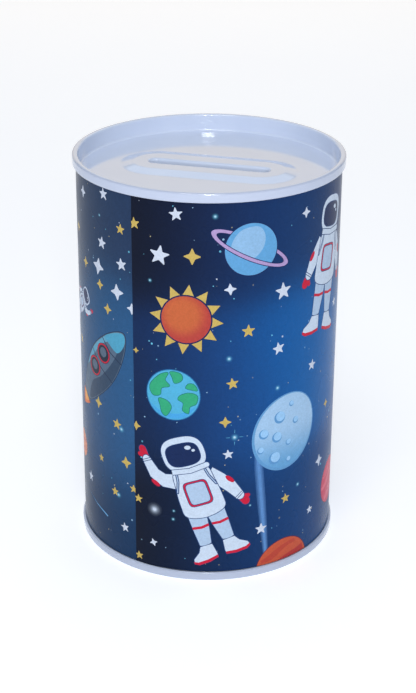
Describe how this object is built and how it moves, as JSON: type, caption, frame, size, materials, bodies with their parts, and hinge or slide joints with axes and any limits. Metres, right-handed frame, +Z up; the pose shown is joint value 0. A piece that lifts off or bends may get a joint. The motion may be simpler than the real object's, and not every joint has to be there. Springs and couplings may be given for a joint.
{
  "type": "money box",
  "caption": "Sealed round tin money box with a slotted, recessed white lid, double-seamed ends and a glossy printed space-scene wrap.",
  "frame": {"origin": "centre of the ring the box stands on", "axes": "+Z up along the can's axis, +X along the coin slot; the picture's front is towards -Y, a little to +X"},
  "size_m": [0.1016, 0.1016, 0.155],
  "materials": {
    "tinplate": "bright rolled tinplate",
    "white_lacquer": "gloss white lacquer on tinplate",
    "base_lacquer": "gloss white lacquer on tinplate, scuffed on its standing ring",
    "printed_film": null,
    "sealing_compound": "matt can-end lining compound",
    "adhesive": "clear pressure-sensitive adhesive"
  },
  "bodies": {
    "root": {"tin_body": "tinplate", "top_end": "white_lacquer", "bottom_end": "base_lacquer", "printed_wrap": "printed_film", "top_seam_compound": "sealing_compound", "bottom_seam_compound": "sealing_compound", "wrap_start_glue": "adhesive", "wrap_overlap_glue": "adhesive"}
  },
  "joints": []
}
